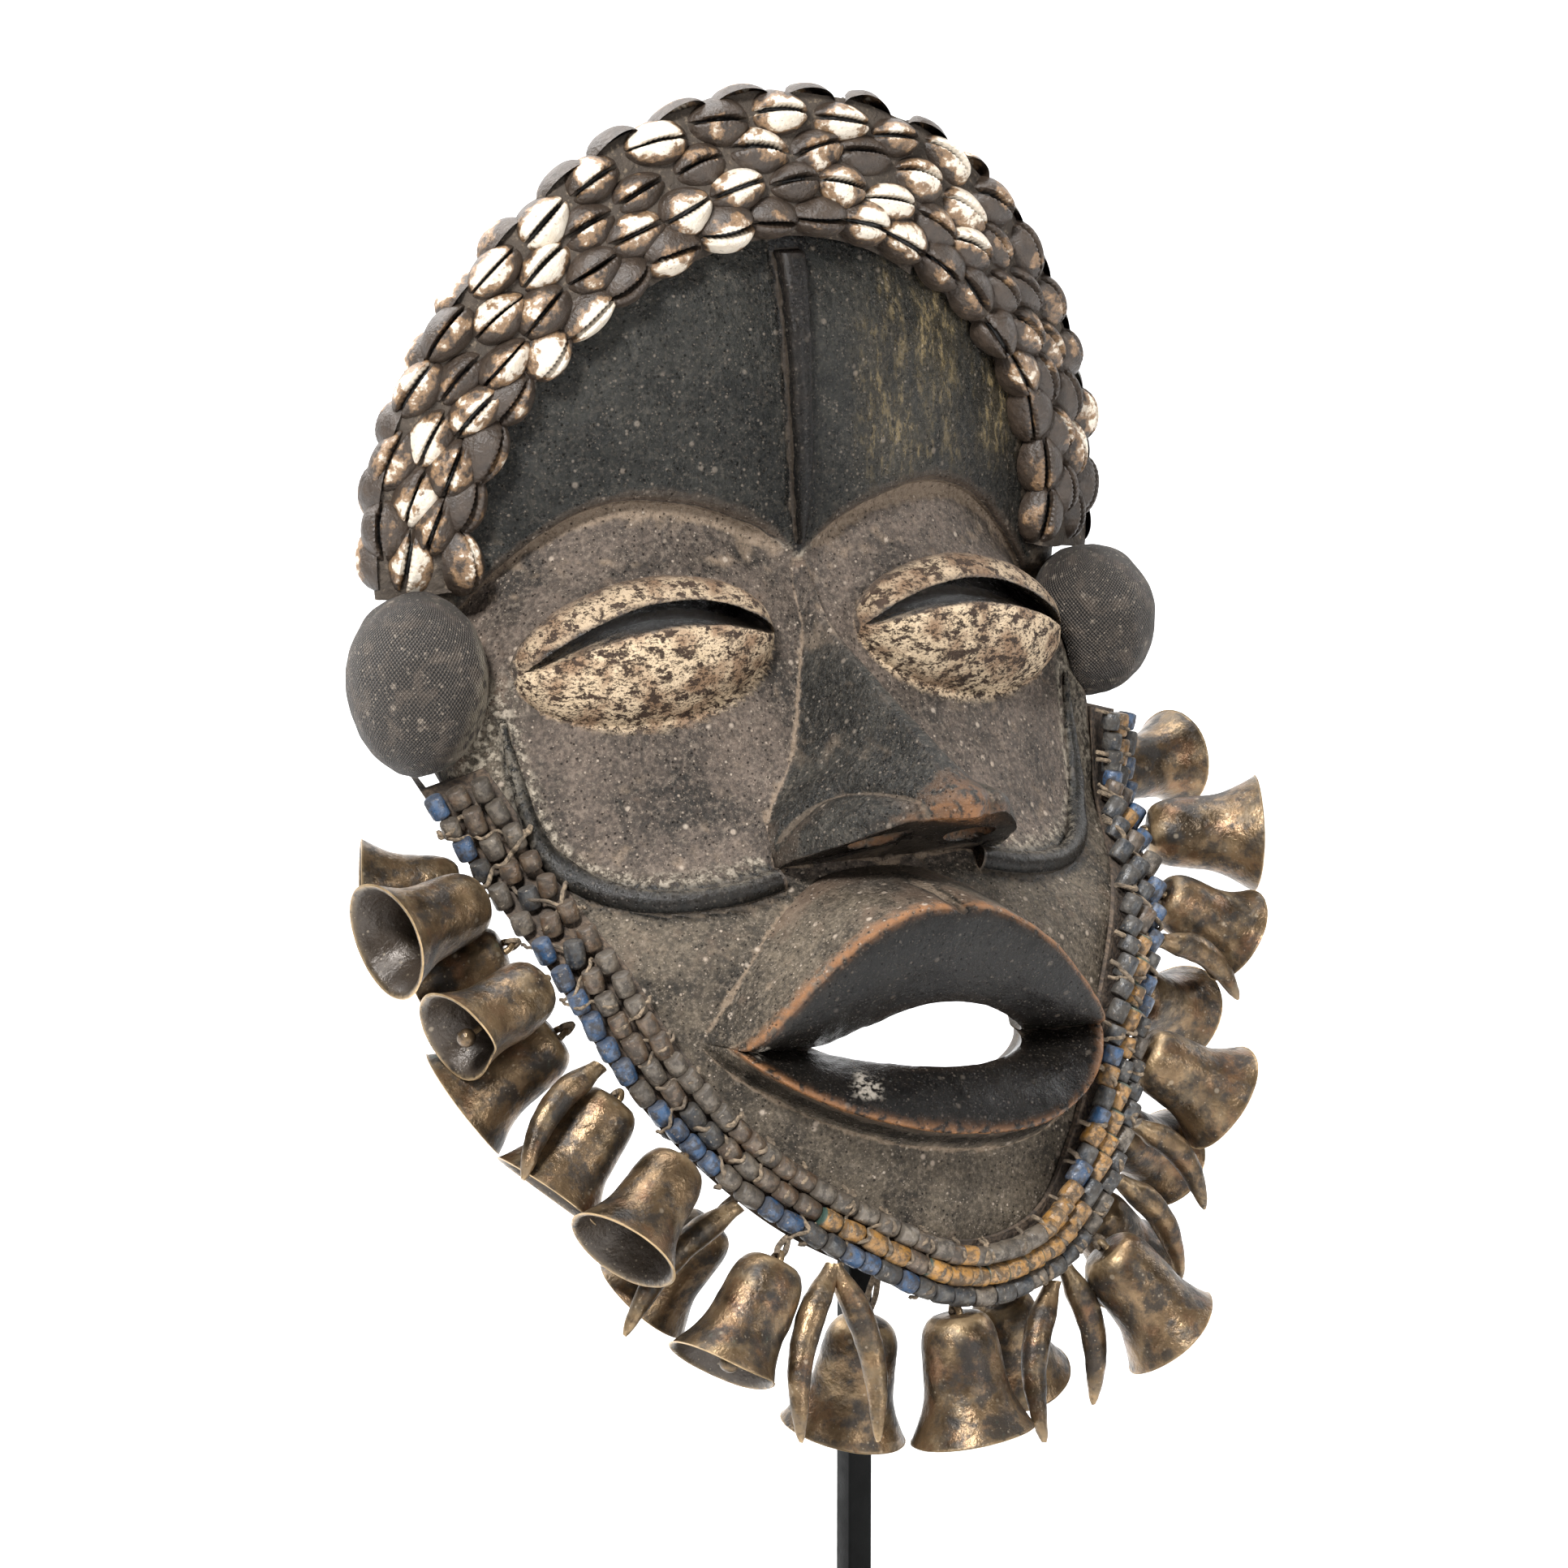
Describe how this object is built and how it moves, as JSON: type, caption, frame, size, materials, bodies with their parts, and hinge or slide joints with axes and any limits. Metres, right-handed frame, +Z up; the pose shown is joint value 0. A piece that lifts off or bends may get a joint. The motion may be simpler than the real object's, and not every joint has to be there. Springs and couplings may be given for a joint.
{
  "type": "carved mask",
  "caption": "Carved wooden face mask with a cowrie-shell cap, cloth ear pads, a beaded jaw strap hung with cast bells and claws, on a square steel post and foot.",
  "frame": {"origin": "middle of the foot's underside, on the axis of the post", "axes": "+Z up, the face looks along -Y, +X is the viewer's right"},
  "size_m": [0.2502, 0.1297, 0.4073],
  "materials": {
    "wood": "dark patinated, half gloss",
    "cowrie_paste": "worn shells in matt resinous paste",
    "ear_cloth": "woven cloth stiffened with paste",
    "strap_fibre": "twisted fibre",
    "beads_blue": "dirty glass beads",
    "beads_ochre": "dirty glass beads",
    "beads_slate": "dirty glass and stone beads",
    "brass": "cast, dark patina with worn high points",
    "stand_steel": "satin black"
  },
  "bodies": {
    "root": {"mask_face": "wood", "hair_band": "cowrie_paste", "ear_pad_left": "ear_cloth", "ear_pad_right": "ear_cloth", "jaw_strap": "strap_fibre", "beads_outer": "beads_blue", "beads_middle": "beads_ochre", "beads_inner": "beads_slate", "stand_post": "stand_steel", "stand_foot": "stand_steel", "bell_01": "brass", "bell_02": "brass", "bell_03": "brass", "bell_04": "brass", "bell_05": "brass", "bell_06": "brass", "bell_07": "brass", "bell_08": "brass", "bell_09": "brass", "bell_10": "brass", "bell_11": "brass", "bell_12": "brass", "bell_13": "brass", "bell_14": "brass", "bell_15": "brass", "bell_16": "brass", "bell_17": "brass", "bell_18": "brass", "bell_19": "brass", "bell_20": "brass", "claw_01": "brass", "claw_02": "brass", "claw_03": "brass", "claw_04": "brass", "claw_05": "brass", "claw_06": "brass", "claw_07": "brass", "claw_08": "brass", "clapper_04": "brass", "clapper_09": "brass", "clapper_11": "brass"}
  },
  "joints": []
}
